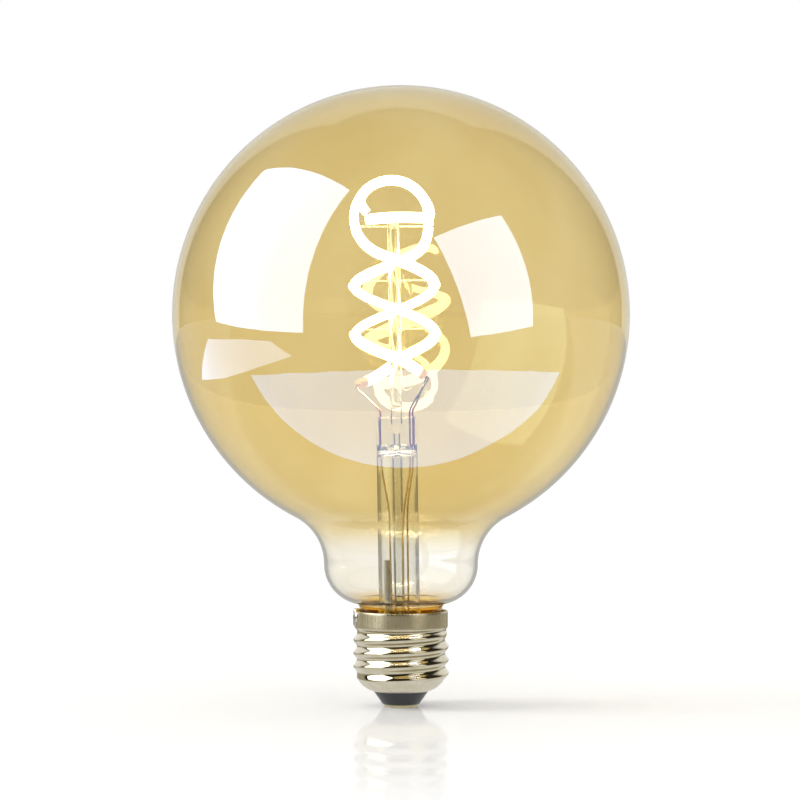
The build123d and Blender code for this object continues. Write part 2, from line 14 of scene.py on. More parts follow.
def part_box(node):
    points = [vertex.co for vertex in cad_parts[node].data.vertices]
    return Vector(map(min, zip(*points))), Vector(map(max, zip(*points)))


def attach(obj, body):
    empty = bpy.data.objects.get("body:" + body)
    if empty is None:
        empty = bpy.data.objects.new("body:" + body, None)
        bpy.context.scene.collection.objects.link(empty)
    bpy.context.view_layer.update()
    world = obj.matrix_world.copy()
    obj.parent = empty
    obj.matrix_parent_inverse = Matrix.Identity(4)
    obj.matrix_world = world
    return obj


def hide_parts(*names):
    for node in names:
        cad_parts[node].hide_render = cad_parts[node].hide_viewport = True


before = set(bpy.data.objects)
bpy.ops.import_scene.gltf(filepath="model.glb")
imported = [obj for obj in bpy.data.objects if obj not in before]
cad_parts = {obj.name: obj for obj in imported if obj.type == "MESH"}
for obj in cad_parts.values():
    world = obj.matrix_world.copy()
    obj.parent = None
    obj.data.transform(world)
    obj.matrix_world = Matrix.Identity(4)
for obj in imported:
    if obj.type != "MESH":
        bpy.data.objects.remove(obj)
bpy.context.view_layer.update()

MM = 0.001
WHITE = (1.0, 1.0, 1.0, 1.0)
MERGE_DISTANCE = 0.001 * MM
BODY = "root"
LOG = logging.getLogger("lamp")

Point = tuple[float, float, float]
Light = tuple[float, float, float, float]
Outline = list[tuple[float, float]]
Profile = tuple[tuple[float, float], ...]
Socket = bpy.types.NodeSocket
Tree = bpy.types.NodeTree
Piece = bpy.types.Object


class Slot(Enum):
    """The record's material slots."""

    AMBER_GLASS = "amber_glass"
    CLEAR_GLASS = "clear_glass"
    NICKEL_PLATE = "nickel_plate"
    BLACK_GLASS = "black_glass"
    BRASS = "brass"
    SOLDER = "solder"
    TINNED_WIRE = "tinned_wire"
    CEMENT = "cement"
    PHOSPHOR = "phosphor"
    NICKEL_WIRE = "nickel_wire"
    WHITE_INSULATION = "white_insulation"


# ---------------------------------------------------------------- colours and shader nodes


def linear(hex_colour: str) -> tuple[float, float, float, float]:
    """Turns an sRGB colour to the linear one that shaders take.

    Args:
        hex_colour: The colour as "#rrggbb".

    Returns:
        Red, green, blue and an alpha of one.
    """
    shares = [int(hex_colour[i : i + 2], 16) / 255 for i in (1, 3, 5)]
    red, green, blue = (c / 12.92 if c <= 0.04045 else ((c + 0.055) / 1.055) ** 2.4 for c in shares)
    return (red, green, blue, 1.0)


def add_node(tree: Tree, kind: str, inputs: dict | None = None, **settings: object) -> bpy.types.Node:
    """Adds one shader node with its settings and links.

    Args:
        tree: The node tree it goes in.
        kind: The node's type, without the words that all shader nodes start with.
        inputs: For each input socket, by name or number, a value or the socket that feeds it.
        settings: The node's own properties.

    Returns:
        The new node.
    """
    node = tree.nodes.new("ShaderNode" + kind)
    for name, value in settings.items():
        setattr(node, name, value)
    for key, value in (inputs or {}).items():
        if isinstance(value, Socket):
            tree.links.new(value, node.inputs[key])
        else:
            node.inputs[key].default_value = value
    return node


def fresh_tree(owner: bpy.types.ID) -> Tree:
    """Gives a material or a world an empty node tree."""
    owner.use_nodes = True
    owner.node_tree.nodes.clear()
    return owner.node_tree


def maths(tree: Tree, operation: str, one: object, other: object) -> Socket:
    """The result of one sum of two amounts."""
    return add_node(tree, "Math", {0: one, 1: other}, operation=operation).outputs[0]


def blended(tree: Tree, share: Socket, plain: object, chosen: object) -> Socket:
    """The plain colour where the share is nought, the chosen one where it is one, and a mix between."""
    mixed = {0: share, 6: plain, 7: chosen}
    return add_node(tree, "Mix", mixed, data_type="RGBA").outputs[2]


def grain(
    tree: Tree, place: Socket, size: float, stretch: Point = (1.0, 1.0, 1.0), detail: float = 3.0
) -> Socket:
    """Draws soft random lumps of a real size.

    Args:
        tree: The material's node tree.
        place: The coordinates that the lumps lie in.
        size: How far apart the lumps are.
        stretch: How often they repeat along each axis, as a share of the plain rate.
        detail: How many finer layers are laid over them.

    Returns:
        A value from nought to one.
    """
    spread = add_node(tree, "Mapping", {"Vector": place, "Scale": stretch})
    wanted = {"Vector": spread.outputs[0], "Scale": 1 / (size * MM), "Detail": detail}
    return add_node(tree, "TexNoise", wanted).outputs["Fac"]


def shades(tree: Tree, amount: Socket, stops: list[tuple[float, str]]) -> Socket:
    """Gives each amount its shade.

    Args:
        tree: The material's node tree.
        amount: A value from nought to one.
        stops: Positions along the amount, each with an sRGB colour.

    Returns:
        The colour.
    """
    ramp = add_node(tree, "ValToRGB", {"Fac": amount})
    marks = ramp.color_ramp.elements
    while len(marks) < len(stops):
        marks.new(0.5)
    for mark, (position, colour) in zip(marks, stops):
        mark.position = position
        mark.color = linear(colour)
    return ramp.outputs["Color"]


def levels(tree: Tree, amount: Socket, start: float, end: float, low: float, high: float) -> Socket:
    """Maps an amount smoothly from one range to another.

    Args:
        tree: The material's node tree.
        amount: The value to map.
        start: The amount that gives low.
        end: The amount that gives high.
        low: The result at start.
        high: The result at end.

    Returns:
        The mapped value.
    """
    sockets = {"Value": amount, "From Min": start, "From Max": end, "To Min": low, "To Max": high}
    return add_node(tree, "MapRange", sockets, interpolation_type="SMOOTHSTEP").outputs["Result"]


def relief(tree: Tree, height: Socket, depth: float) -> Socket:
    """Raises a surface by a pattern of a real depth.

    Args:
        tree: The material's node tree.
        height: The pattern, from nought to one.
        depth: The height of the pattern's peaks.

    Returns:
        The bent normal.
    """
    return add_node(tree, "Bump", {"Height": height, "Distance": depth * MM, "Strength": 1.0}).outputs[0]


@dataclass(frozen=True)
class Finish:
    """A surface finish, named for the real material."""

    name: str

    def material(self) -> bpy.types.Material:
        """Builds the finish's material the first time, and finds it after that."""
        found = bpy.data.materials.get(self.name)
        if found is not None:
            return found
        made = bpy.data.materials.new(self.name)
        tree = fresh_tree(made)
        surface = self.surface(tree, add_node(tree, "TexCoord").outputs["Object"])
        add_node(tree, "OutputMaterial", {"Surface": surface})
        return made

    def surface(self, tree: Tree, place: Socket) -> Socket:
        """Builds the finish's shader, which each kind of finish does in its own way."""
        raise NotImplementedError


@dataclass(frozen=True)
class BlownGlass(Finish):
    """Soda-lime glass, blown or drawn. It is clear and sharp, with faint waves from the mould."""

    tint: tuple[tuple[float, str], ...] = ((0.0, "#fbfcfa"), (1.0, "#fdfdfb"))
    shadow: str = "#f0efe8"
    wave: float = 9.0
    wave_depth: float = 0.004

    def tone(self, tree: Tree, place: Socket) -> Socket:
        """The colour that one wall of the glass gives to the light passing through."""
        return shades(tree, grain(tree, place, self.wave), list(self.tint))

    def surface(self, tree: Tree, place: Socket) -> Socket:
        """Sharp clear glass, which lets lamp light straight through to what it shades.

        Args:
            tree: The material's node tree.
            place: The piece's own coordinates.

        Returns:
            The shader.
        """
        waves = relief(tree, grain(tree, place, self.wave, (1.0, 1.0, 0.4), 1.0), self.wave_depth)
        body = {"Base Color": self.tone(tree, place), "Roughness": 0.0, "IOR": 1.5, "Normal": waves}
        glass = add_node(tree, "BsdfPrincipled", {**body, "Transmission Weight": 1.0})
        passing = add_node(tree, "BsdfTransparent", {"Color": linear(self.shadow)})
        ray = add_node(tree, "LightPath").outputs["Is Shadow Ray"]
        return add_node(tree, "MixShader", {0: ray, 1: glass.outputs[0], 2: passing.outputs[0]}).outputs[0]


@dataclass(frozen=True)
class LustreGlass(BlownGlass):
    """Soda-lime glass with a fired amber lustre, which thins out below the globe and pools at the foot."""

    amber: str = "#f4e7c0"
    streak: str = "#eedeb0"
    streak_size: float = 34.0
    clear: str = "#faf7ef"
    pooled: str = "#e6bf62"
    fade_from: float = 42.0
    fade_to: float = 53.0
    pool_top: float = 30.6
    pool_foot: float = 27.0

    def tone(self, tree: Tree, place: Socket) -> Socket:
        """Amber on the globe, nearly clear in the neck, and deep amber where the lustre pooled.

        Args:
            tree: The material's node tree.
            place: The piece's own coordinates.

        Returns:
            The colour.
        """
        height = add_node(tree, "SeparateXYZ", {0: place}).outputs["Z"]
        streaks = grain(tree, place, self.streak_size, (1.0, 1.0, 0.5), 2.0)
        coat = shades(tree, streaks, [(0.35, self.amber), (0.65, self.streak)])
        on_globe = levels(tree, height, self.fade_from * MM, self.fade_to * MM, 0.0, 1.0)
        upper = blended(tree, on_globe, linear(self.clear), coat)
        at_foot = levels(tree, height, self.pool_top * MM, self.pool_foot * MM, 0.0, 1.0)
        return blended(tree, at_foot, upper, linear(self.pooled))


@dataclass(frozen=True)
class CapPlate(Finish):
    """Nickel plate on a pressed cap: a mirror on the rolled thread, satin on the skirt and the bowl."""

    colour: str = "#d9d2bd"
    worn: str = "#c9c0a6"
    bright_from: float = 7.5
    bright_to: float = 21.2
    fade: float = 0.5
    mirror: float = 0.07
    satin: float = 0.3
    unevenness: float = 0.05
    draw_mark: float = 0.35
    smear: float = 3.5
    mark_depth: float = 0.01

    def surface(self, tree: Tree, place: Socket) -> Socket:
        """Warm metal whose gloss changes with height, with fine upright draw marks on the satin bands.

        Args:
            tree: The material's node tree.
            place: The piece's own coordinates.

        Returns:
            The shader.
        """
        height = add_node(tree, "SeparateXYZ", {0: place}).outputs["Z"]
        top, foot, fade = self.bright_to * MM, self.bright_from * MM, self.fade * MM
        above = levels(tree, height, top - fade, top + fade, 0.0, 1.0)
        below = levels(tree, height, foot + fade, foot - fade, 0.0, 1.0)
        band = maths(tree, "MAXIMUM", above, below)
        draw_marks = grain(tree, place, self.draw_mark, (1.0, 1.0, 0.05), 2.0)
        smears = grain(tree, place, self.smear)
        satin = levels(tree, draw_marks, 0.3, 0.7, self.satin - self.unevenness, self.satin + self.unevenness)
        mirror = levels(tree, smears, 0.35, 0.75, self.mirror, self.mirror + self.unevenness)
        roughness = add_node(tree, "Mix", {0: band, 2: mirror, 3: satin}).outputs[0]
        colour = shades(tree, smears, [(0.3, self.colour), (0.75, self.worn)])
        marks = maths(tree, "MULTIPLY", draw_marks, band)
        sockets = {
            "Base Color": colour,
            "Metallic": 1.0,
            "Roughness": roughness,
            "Normal": relief(tree, marks, self.mark_depth),
        }
        return add_node(tree, "BsdfPrincipled", sockets).outputs[0]


@dataclass(frozen=True)
class Metal(Finish):
    """A worked metal: drawn wire, stamped sheet or a solder dab. Fine marks break up its gloss."""

    colour: str = "#d0ccc2"
    dulled: str = "#b7b1a4"
    roughness: float = 0.22
    mark: float = 0.4
    mark_stretch: Point = (1.0, 1.0, 0.15)
    mark_depth: float = 0.006
    dulling: float = 0.12

    def tone(self, tree: Tree, place: Socket, marks: Socket) -> Socket:
        """The metal's colour, dulled in its marks."""
        return shades(tree, marks, [(0.3, self.colour), (0.7, self.dulled)])

    def surface(self, tree: Tree, place: Socket) -> Socket:
        """Metal with marks of a real size in its colour, gloss and relief.

        Args:
            tree: The material's node tree.
            place: The piece's own coordinates.

        Returns:
            The shader.
        """
        marks = grain(tree, place, self.mark, self.mark_stretch)
        sockets = {
            "Base Color": self.tone(tree, place, marks),
            "Metallic": 1.0,
            "Roughness": levels(tree, marks, 0.3, 0.75, self.roughness, self.roughness + self.dulling),
            "Normal": relief(tree, marks, self.mark_depth),
        }
        return add_node(tree, "BsdfPrincipled", sockets).outputs[0]


@dataclass(frozen=True)
class HeatedWire(Metal):
    """Nickel lead wire whose lower end was heated in the glass press, which leaves a red oxide on it."""

    oxide: str = "#b0502e"
    red_below: float = 79.6
    bright_above: float = 84.0

    def tone(self, tree: Tree, place: Socket, marks: Socket) -> Socket:
        """Bright drawn wire that turns red towards the press.

        Args:
            tree: The material's node tree.
            place: The piece's own coordinates.
            marks: The pattern of the marks from the die.

        Returns:
            The colour.
        """
        height = add_node(tree, "SeparateXYZ", {0: place}).outputs["Z"]
        bright = levels(tree, height, self.red_below * MM, self.bright_above * MM, 0.0, 1.0)
        return blended(tree, bright, linear(self.oxide), super().tone(tree, place, marks))


@dataclass(frozen=True)
class Moulded(Finish):
    """A moulded, cast or coated part that isn't metal, such as plastic, lacquer, cement or dark glass."""

    colour: str = "#303032"
    other: str = "#3a3a3c"
    roughness: float = 0.4
    ior: float = 1.5
    speck: float = 0.5
    speck_depth: float = 0.01
    coat: float = 0.0
    unevenness: float = 0.04

    def surface(self, tree: Tree, place: Socket) -> Socket:
        """A mottled body with a fine texture.

        Args:
            tree: The material's node tree.
            place: The piece's own coordinates.

        Returns:
            The shader.
        """
        specks = grain(tree, place, self.speck)
        smoothest = self.roughness - self.unevenness
        sockets = {
            "Base Color": shades(tree, specks, [(0.35, self.colour), (0.7, self.other)]),
            "Roughness": levels(tree, specks, 0.3, 0.75, smoothest, self.roughness + 2 * self.unevenness),
            "IOR": self.ior,
            "Coat Weight": self.coat,
            "Normal": relief(tree, specks, self.speck_depth),
        }
        return add_node(tree, "BsdfPrincipled", sockets).outputs[0]


@dataclass(frozen=True)
class Phosphor(Finish):
    """Silicone loaded with yellow phosphor over a row of chips, which glows warm white when lit.

    Its foot is the ribbon's first point. The length from there called unlit only glows faintly.
    """

    foot: Point = (0.0, 0.0, 0.0)
    unlit: float = 3.0
    body: str = "#eec65a"
    body_deep: str = "#d9a63c"
    glow: str = "#fff8e8"
    strength: float = 28.0
    foot_glow: float = 0.45
    blend: float = 0.7
    chip_pitch: float = 1.1

    def surface(self, tree: Tree, place: Socket) -> Socket:
        """Yellow silicone with a glow that starts past the unlit foot and swells a little over each chip.

        Args:
            tree: The material's node tree.
            place: The piece's own coordinates.

        Returns:
            The shader.
        """
        foot = tuple(value * MM for value in self.foot)
        away = add_node(tree, "VectorMath", {0: place, 1: foot}, operation="DISTANCE").outputs["Value"]
        start, end = (self.unlit - self.blend) * MM, (self.unlit + self.blend) * MM
        lit = levels(tree, away, start, end, self.foot_glow, self.strength)
        chips = grain(tree, place, self.chip_pitch, detail=1.0)
        swell = levels(tree, chips, 0.35, 0.65, 0.8, 1.0)
        sockets = {
            "Base Color": shades(tree, chips, [(0.3, self.body), (0.7, self.body_deep)]),
            "Roughness": levels(tree, chips, 0.3, 0.7, 0.4, 0.5),
            "IOR": 1.41,
            "Emission Color": linear(self.glow),
            "Emission Strength": maths(tree, "MULTIPLY", lit, swell),
            "Normal": relief(tree, chips, 0.05),
        }
        return add_node(tree, "BsdfPrincipled", sockets).outputs[0]


# Soda-lime glass with a fired amber lustre: the globe shows what is behind it through honey colour.
GLOBE_GLASS = LustreGlass("soda_lime_glass_amber_lustre", shadow="#fbf9f4")
# Drawn lead-free glass tube, flame worked: clear, with soft waves where the flame softened it.
STEM_GLASS = BlownGlass("drawn_clear_glass", wave=6.0, wave_depth=0.006)
# Nickel plate over brass sheet: warm grey, mirror bright where it was rolled and satin where it was drawn.
CAP_PLATE = CapPlate("nickel_plated_brass_cap")
# Vitrite, the dark glass that is pressed into a cap: near black, with a soft skin from the mould.
VITRITE = Moulded("pressed_vitrite", "#202022", "#28282a", 0.38, 1.45, 0.6, 0.012, 0.15)
# Tinned brass contact: pale yellow grey, with stamping marks.
CONTACT_BRASS = Metal("stamped_tinned_brass", "#c9bd97", "#a89a6e", 0.24, 0.5, (1.0, 1.0, 1.0), 0.008)
# Tin solder, melted and frozen: bright and lumpy.
SOLDER = Metal("tin_solder", "#dcdcd8", "#bdbcb6", 0.12, 0.9, (1.0, 1.0, 1.0), 0.05)
# Tinned copper wire: grey and bright, drawn through a die, so its marks run along it.
TINNED_WIRE = Metal("tinned_copper_wire", "#cfccc6", "#aaa69c", 0.2)
# Nickel wire: pale and bright, with marks along it.
NICKEL_WIRE = Metal("drawn_nickel_wire", "#d8cdb8", "#a89a80", 0.2)
# Nickel lead wire, heated at its foot: bright above, red oxide below.
LEAD_WIRE = HeatedWire("heated_nickel_lead", "#dccfb4", "#a89878", 0.18)
# Dumet, copper over a nickel-iron core: the copper turns red where the glass wets it.
DUMET = Metal("borated_dumet_wire", "#c46848", "#9c4630", 0.28)
# Bare copper wire, heated to a straw gold: bright, with marks along it.
COPPER = Metal("bare_copper_wire", "#e6c67e", "#c49a54", 0.24)
# Capping cement, a baked mix of resin and marble flour: straw yellow and grainy.
CAP_CEMENT = Moulded("baked_capping_cement", "#dcc07c", "#bd9c58", 0.8, 1.5, 0.7, 0.08)
# Glass-fibre laminate under green lacquer: semi-gloss, with the weave faintly under it.
CIRCUIT_BOARD = Moulded("lacquered_laminate", "#20563a", "#1a4a31", 0.32, 1.5, 0.9, 0.01, 0.3)
# Epoxy moulding compound: black and matt, with fine grit from the mould.
CHIP_EPOXY = Moulded("epoxy_moulding_compound", "#232325", "#2c2c2e", 0.5, 1.55, 0.25, 0.01)
# Nylon bobbin and sleeve: off-white and matt.
WHITE_NYLON = Moulded("moulded_white_nylon", "#e8e4da", "#d9d4c8", 0.5, 1.53, 0.4, 0.01)
# Shrink sleeve on the smoothing capacitor: dark blue vinyl, semi-gloss.
SHRINK_SLEEVE = Moulded("shrunk_vinyl_sleeve", "#252a3a", "#30364a", 0.3, 1.53, 1.2, 0.02)
# Film capacitor box: ochre polyester, semi-gloss.
FILM_BOX = Moulded("dipped_polyester_box", "#b98a2e", "#a87a24", 0.35, 1.55, 0.8, 0.02)
# Resistor lacquer: green and thick, with flow marks.
RESISTOR_LACQUER = Moulded("baked_resistor_lacquer", "#4f7f5a", "#3f6c4a", 0.35, 1.5, 0.9, 0.03)
# Tinned steel shield: pale and satin, with rolling marks.
TIN_PLATE = Metal("rolled_tin_plate", "#cfcfcb", "#b4b4ae", 0.3, 0.6, (1.0, 0.1, 1.0), 0.006)
# Fluoropolymer sheath: milk white with a waxy gloss.
WHITE_SHEATH = Moulded("fluoropolymer_sheath", "#f3efe6", "#e9e3d6", 0.3, 1.38, 1.5, 0.015)


# ---------------------------------------------------------------- modelling helpers


def extent(node: str) -> tuple[Vector, Vector]:
    """The lowest and highest corners of a CAD node, in millimetres."""
    low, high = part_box(node)
    return low / MM, high / MM


def deselect_all() -> None:
    """Leaves edit mode and deselects every object."""
    if bpy.context.object is not None and bpy.context.object.mode != "OBJECT":
        bpy.ops.object.mode_set(mode="OBJECT")
    bpy.ops.object.select_all(action="DESELECT")


def work_on(piece: Piece) -> None:
    """Selects one object alone and makes it active."""
    deselect_all()
    piece.select_set(True)
    bpy.context.view_layer.objects.active = piece


def apply_place(piece: Piece) -> None:
    """Puts a piece's place, turn and size into its mesh."""
    work_on(piece)
    bpy.ops.object.transform_apply(location=True, rotation=True, scale=True)


def smooth(piece: Piece, angle: float = 35.0) -> None:
    """Shades a piece smooth, but for edges sharper than an angle in degrees."""
    work_on(piece)
    bpy.ops.object.shade_smooth_by_angle(angle=math.radians(angle))


def apply_modifier(piece: Piece, kind: str, **settings: object) -> None:
    """Adds a modifier to a piece and applies it.

    Args:
        piece: The mesh it works on.
        kind: The modifier's type.
        settings: The modifier's properties.
    """
    work_on(piece)
    modifier = piece.modifiers.new(kind.lower(), kind)
    for name, value in settings.items():
        setattr(modifier, name, value)
    bpy.ops.object.modifier_apply(modifier=modifier.name)


def arc(centre: tuple[float, float], radius: float, start: float, end: float, runs: int) -> Outline:
    """Points along an arc in the profile plane.

    Args:
        centre: The arc's centre, as a radius and a height.
        radius: The arc's own radius.
        start: The first point's angle in degrees.
        end: The last point's angle in degrees.
        runs: The number of straight runs between them.

    Returns:
        The points, both ends among them.
    """
    turns = [math.radians(start + (end - start) * i / runs) for i in range(runs + 1)]
    return [(centre[0] + radius * math.cos(t), centre[1] + radius * math.sin(t)) for t in turns]


def eased(share: float) -> float:
    """A share kept from nought to one, which starts and ends gently."""
    kept = min(1.0, max(0.0, share))
    return kept * kept * (3 - 2 * kept)


def close_seams(piece: Piece, angle: float = 35.0) -> None:
    """Joins the doubled points of a piece in edit mode, turns its faces outwards and shades it smooth."""
    bpy.ops.mesh.select_all(action="SELECT")
    bpy.ops.mesh.remove_doubles(threshold=MERGE_DISTANCE)
    bpy.ops.mesh.normals_make_consistent(inside=False)
    bpy.ops.object.mode_set(mode="OBJECT")
    smooth(piece, angle)


def turned(name: str, outline: Outline, steps: int = 96) -> Piece:
    """Turns an outline about the lamp's axis.

    One point is drawn out from corner to corner and then spun, as on a lathe.

    Args:
        name: The piece's name.
        outline: Radii and heights along the profile.
        steps: The number of sides round the axis.

    Returns:
        The piece, with its faces outwards if it is closed.
    """
    deselect_all()
    bpy.ops.mesh.primitive_plane_add(size=MM)
    piece = bpy.context.object
    piece.name = name
    bpy.ops.object.mode_set(mode="EDIT")
    bpy.ops.mesh.merge(type="CENTER")
    bpy.ops.transform.translate(value=Vector((outline[0][0], 0.0, outline[0][1])) * MM)
    for here, there in zip(outline, outline[1:]):
        step = Vector((there[0] - here[0], 0.0, there[1] - here[1])) * MM
        bpy.ops.mesh.extrude_region_move(TRANSFORM_OT_translate={"value": step})
    bpy.ops.mesh.select_all(action="SELECT")
    bpy.ops.mesh.spin(steps=steps, angle=math.tau, center=(0.0, 0.0, 0.0), axis=(0.0, 0.0, 1.0))
    close_seams(piece)
    return piece


def drawn(name: str, route: list[Point], radius: float, flat: float = 0.0, sides: int = 4) -> Piece:
    """Draws a wire or a ribbon along a route.

    Args:
        name: The piece's name.
        route: The points that steer its line.
        radius: The radius of its round edge.
        flat: How much wider than round it is, on each side.
        sides: How finely its edge is rounded.

    Returns:
        The piece as a mesh, closed at both ends.
    """
    deselect_all()
    bpy.ops.curve.primitive_nurbs_path_add()
    piece = bpy.context.object
    piece.name = name
    line = piece.data
    line.splines.clear()
    spline = line.splines.new("NURBS")
    spline.points.add(len(route) - 1)
    for point, place in zip(spline.points, route):
        point.co = (*(value * MM for value in place), 1.0)
    spline.order_u = 3
    spline.use_endpoint_u = True
    spline.resolution_u = 10
    line.dimensions = "3D"
    line.twist_mode = "MINIMUM"
    line.bevel_depth = radius * MM
    line.extrude = flat * MM
    line.bevel_resolution = sides
    line.use_fill_caps = True
    bpy.ops.object.convert(target="MESH")
    piece = bpy.context.object
    bpy.ops.object.mode_set(mode="EDIT")
    close_seams(piece, 45.0)
    return piece


def refined(node: str, name: str, edge: float = 0.0, angle: float = 35.0) -> Piece:
    """Copies a CAD node's shape, joins its loose triangles, and softens its edges.

    Args:
        node: The CAD node.
        name: The new piece's name.
        edge: The width of the bevel on its sharp edges, or nought for none.
        angle: Edges sharper than this many degrees stay crisp.

    Returns:
        The new piece.
    """
    deselect_all()
    piece = bpy.data.objects.new(name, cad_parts[node].data.copy())
    bpy.context.scene.collection.objects.link(piece)
    work_on(piece)
    bpy.ops.object.mode_set(mode="EDIT")
    bpy.ops.mesh.select_all(action="SELECT")
    bpy.ops.mesh.customdata_custom_splitnormals_clear()
    bpy.ops.mesh.remove_doubles(threshold=MERGE_DISTANCE)
    bpy.ops.object.mode_set(mode="OBJECT")
    if edge:
        limit = math.radians(angle)
        apply_modifier(piece, "BEVEL", width=edge * MM, segments=2, limit_method="ANGLE", angle_limit=limit)
    smooth(piece, angle)
    return piece


def finish_piece(piece: Piece, finish: Finish, slot: Slot, *nodes: str) -> Piece:
    """Dresses a piece and ties it to the lamp.

    Args:
        piece: The finished mesh.
        finish: Its surface finish.
        slot: The record's slot that the finish belongs to. It is not used.
        nodes: The CAD nodes that it stands for.

    Returns:
        The piece.
    """
    piece.data.materials.clear()
    piece.data.materials.append(finish.material())
    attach(piece, BODY)
    if nodes:
        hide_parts(*nodes)
    LOG.info("%s: %d faces, %s", piece.name, len(piece.data.polygons), finish.name)
    return piece


def dress_node(node: str, finish: Finish) -> None:
    """Gives a CAD node that stays its finish."""
    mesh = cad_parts[node].data
    mesh.materials.clear()
    mesh.materials.append(finish.material())
    LOG.info("%s: kept as packed, %s", node, finish.name)


# ---------------------------------------------------------------- the lamp's sub-assemblies


@dataclass
class Envelope:
    """The blown globe with its shoulder, neck and collar, one closed wall of glass."""

    wall: float = 0.8
    shoulder: float = 14.5
    neck: float = 21.1
    bowl: float = 11.0
    collar: float = 11.3
    collar_fillet: float = 1.5
    clearance: float = 0.005
    runs: tuple[int, int, int, int] = (88, 18, 22, 8)
    steps: int = 192
    radius: float = field(init=False)
    centre_z: float = field(init=False)
    foot_z: float = field(init=False)

    def __post_init__(self) -> None:
        """Takes the globe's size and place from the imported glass."""
        low, high = extent("globe_glass")
        self.radius = min(high.x - low.x, high.y - low.y) / 2 - self.clearance
        self.centre_z = high.z - self.radius
        self.foot_z = low.z

    def face(self, inset: float) -> Outline:
        """The outline of one face of the wall, from the crown to the foot.

        Args:
            inset: How far the face lies inside the outer one.

        Returns:
            Radii and heights.
        """
        shoulder_r = self.neck + self.shoulder
        drop = math.sqrt((self.radius + self.shoulder) ** 2 - shoulder_r**2)
        waist_z = self.centre_z - drop
        globe_foot = -math.degrees(math.atan2(drop, shoulder_r))
        bowl_x = self.neck - self.bowl
        fillet_r = self.collar + self.collar_fillet
        fillet_drop = math.sqrt((self.bowl + self.collar_fillet) ** 2 - (fillet_r - bowl_x) ** 2)
        bowl_foot = -math.degrees(math.atan2(fillet_drop, fillet_r - bowl_x))
        runs = self.runs
        globe = arc((0.0, self.centre_z), self.radius - inset, 90.0, globe_foot, runs[0])
        shoulder = arc((shoulder_r, waist_z), self.shoulder + inset, globe_foot + 180.0, 180.0, runs[1])
        bowl = arc((bowl_x, waist_z), self.bowl - inset, 0.0, bowl_foot, runs[2])
        fillet_centre = (fillet_r, waist_z - fillet_drop)
        fillet = arc(fillet_centre, self.collar_fillet + inset, bowl_foot + 180.0, 180.0, runs[3])
        return globe + shoulder[1:] + bowl[1:] + fillet[1:] + [(self.collar - inset, self.foot_z)]

    def build(self) -> None:
        """Turns the wall and closes it at the crown and the foot."""
        outline = self.face(0.0) + self.face(self.wall)[::-1]
        globe = turned("globe", outline, self.steps)
        finish_piece(globe, GLOBE_GLASS, Slot.AMBER_GLASS, "globe_glass")


